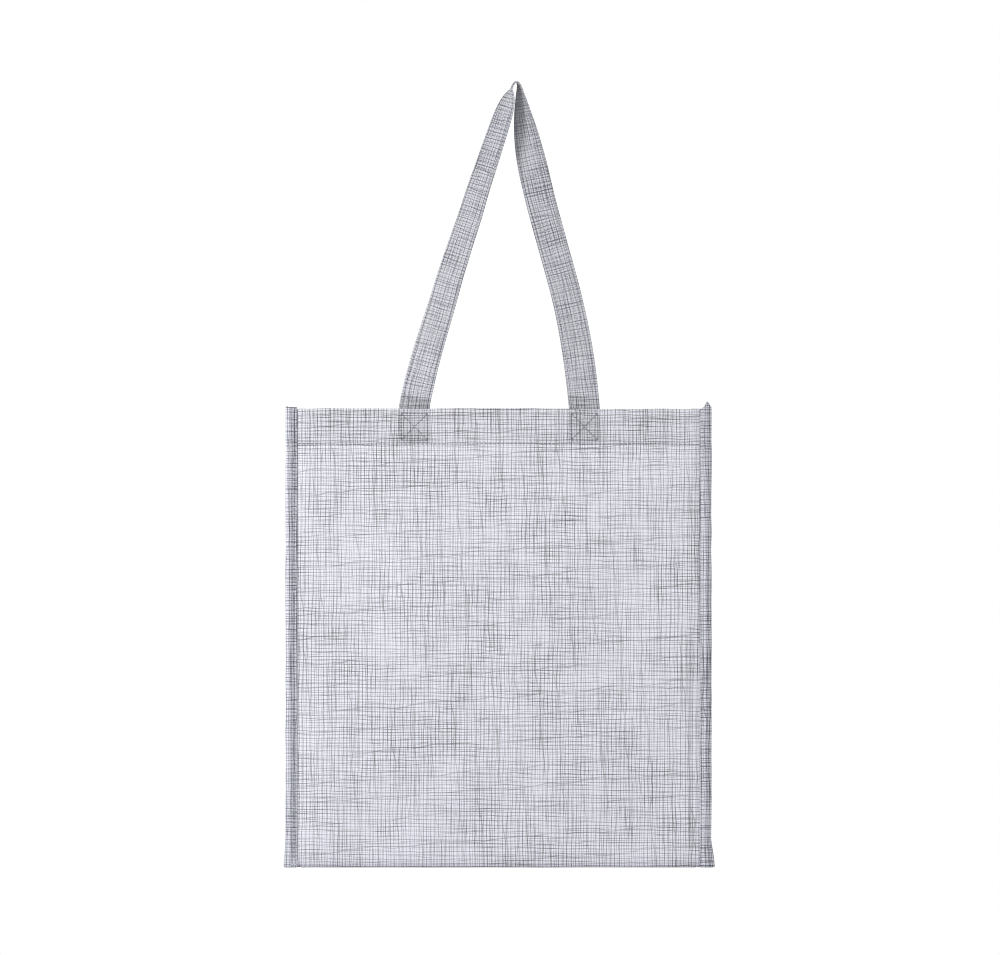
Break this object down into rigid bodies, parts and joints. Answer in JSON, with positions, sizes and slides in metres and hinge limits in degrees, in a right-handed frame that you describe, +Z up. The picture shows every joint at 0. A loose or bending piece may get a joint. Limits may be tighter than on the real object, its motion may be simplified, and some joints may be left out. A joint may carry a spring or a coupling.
{
  "type": "shopping tote bag",
  "caption": "Open-top non-woven shopping tote with a crosshatch print, bound side seams, creased gussets that fold flat and sewn strap handles that swing.",
  "frame": {"origin": "on the ground, under the middle of the bag", "axes": "+Z up, +X to the viewer's right when looking at the front, which faces -Y"},
  "size_m": [0.3438, 0.2202, 0.6337],
  "materials": {
    "printed_cloth": "laminated non-woven polypropylene, pale blue grey with a grey hand-drawn crosshatch print",
    "binding": "folded strip of the same printed cloth",
    "strap": "strap folded from the same printed cloth, edge stitched",
    "thread": "grey polyester sewing thread"
  },
  "bodies": {
    "back": {"back_panel": "printed_cloth", "back_panel_left_fin": "printed_cloth", "back_panel_right_fin": "printed_cloth", "back_left_binding": "binding", "back_right_binding": "binding", "back_left_binding_stitch": "thread", "back_right_binding_stitch": "thread", "back_hem_stitch": "thread", "back_left_handle_tail": "strap", "back_right_handle_tail": "strap", "back_left_boxed_cross": "thread", "back_right_boxed_cross": "thread", "left_gusset_back_fin": "printed_cloth", "right_gusset_back_fin": "printed_cloth", "base_panel": "printed_cloth", "base_panel_left_fin": "printed_cloth", "base_panel_right_fin": "printed_cloth", "left_base_binding": "binding", "right_base_binding": "binding", "left_base_binding_stitch": "thread", "right_base_binding_stitch": "thread", "left_gusset_base_fin": "printed_cloth", "right_gusset_base_fin": "printed_cloth"},
    "front": {"front_panel": "printed_cloth", "front_panel_left_fin": "printed_cloth", "front_panel_right_fin": "printed_cloth", "front_left_binding": "binding", "front_right_binding": "binding", "front_left_binding_stitch": "thread", "front_right_binding_stitch": "thread", "front_hem_stitch": "thread", "front_left_handle_tail": "strap", "front_right_handle_tail": "strap", "front_left_boxed_cross": "thread", "front_right_boxed_cross": "thread", "left_gusset_front_fin": "printed_cloth", "right_gusset_front_fin": "printed_cloth"},
    "left_gusset_rear_half": {"left_gusset_back": "printed_cloth", "left_gusset_back_hem_stitch": "thread"},
    "left_gusset_front_half": {"left_gusset_front": "printed_cloth", "left_gusset_front_hem_stitch": "thread"},
    "right_gusset_rear_half": {"right_gusset_back": "printed_cloth", "right_gusset_back_hem_stitch": "thread"},
    "right_gusset_front_half": {"right_gusset_front": "printed_cloth", "right_gusset_front_hem_stitch": "thread"},
    "front_handle": {"front_handle": "strap"},
    "back_handle": {"back_handle": "strap"}
  },
  "joints": [
    {"name": "left_rear_corner_fold", "type": "hinge", "parent": "back", "child": "left_gusset_rear_half", "pos_m": [-0.161, 0.0982, 0.185], "axis": [0, 0, 1], "range_deg": [0, 80], "deforming": ["base_panel", "base_panel_left_fin", "base_panel_right_fin", "left_base_binding", "right_base_binding", "left_base_binding_stitch", "right_base_binding_stitch", "left_gusset_base_fin", "right_gusset_base_fin"]},
    {"name": "left_gusset_crease", "type": "hinge", "parent": "left_gusset_rear_half", "child": "left_gusset_front_half", "pos_m": [-0.1625, 0, 0.185], "axis": [0, 0, 1], "range_deg": [-160, 0]},
    {"name": "left_front_corner_fold", "type": "hinge", "parent": "left_gusset_front_half", "child": "front", "pos_m": [-0.161, -0.0982, 0.185], "axis": [0, 0, 1], "range_deg": [0, 80]},
    {"name": "right_rear_corner_fold", "type": "hinge", "parent": "back", "child": "right_gusset_rear_half", "pos_m": [0.161, 0.0982, 0.185], "axis": [0, 0, 1], "range_deg": [-80, 0]},
    {"name": "right_gusset_crease", "type": "hinge", "parent": "right_gusset_rear_half", "child": "right_gusset_front_half", "pos_m": [0.1625, 0, 0.185], "axis": [0, 0, 1], "range_deg": [0, 160]},
    {"name": "front_handle_swing", "type": "hinge", "parent": "front", "child": "front_handle", "pos_m": [0, -0.0998, 0.3712], "axis": [1, 0, 0], "range_deg": [0, 172]},
    {"name": "back_handle_swing", "type": "hinge", "parent": "back", "child": "back_handle", "pos_m": [0, 0.0998, 0.3712], "axis": [-1, 0, 0], "range_deg": [0, 172]}
  ],
  "couplings": [
    {"joint": "left_gusset_crease", "follows": "left_rear_corner_fold", "ratio": -2},
    {"joint": "left_front_corner_fold", "follows": "left_rear_corner_fold", "ratio": 1},
    {"joint": "right_rear_corner_fold", "follows": "left_rear_corner_fold", "ratio": -1},
    {"joint": "right_gusset_crease", "follows": "left_rear_corner_fold", "ratio": 2}
  ]
}
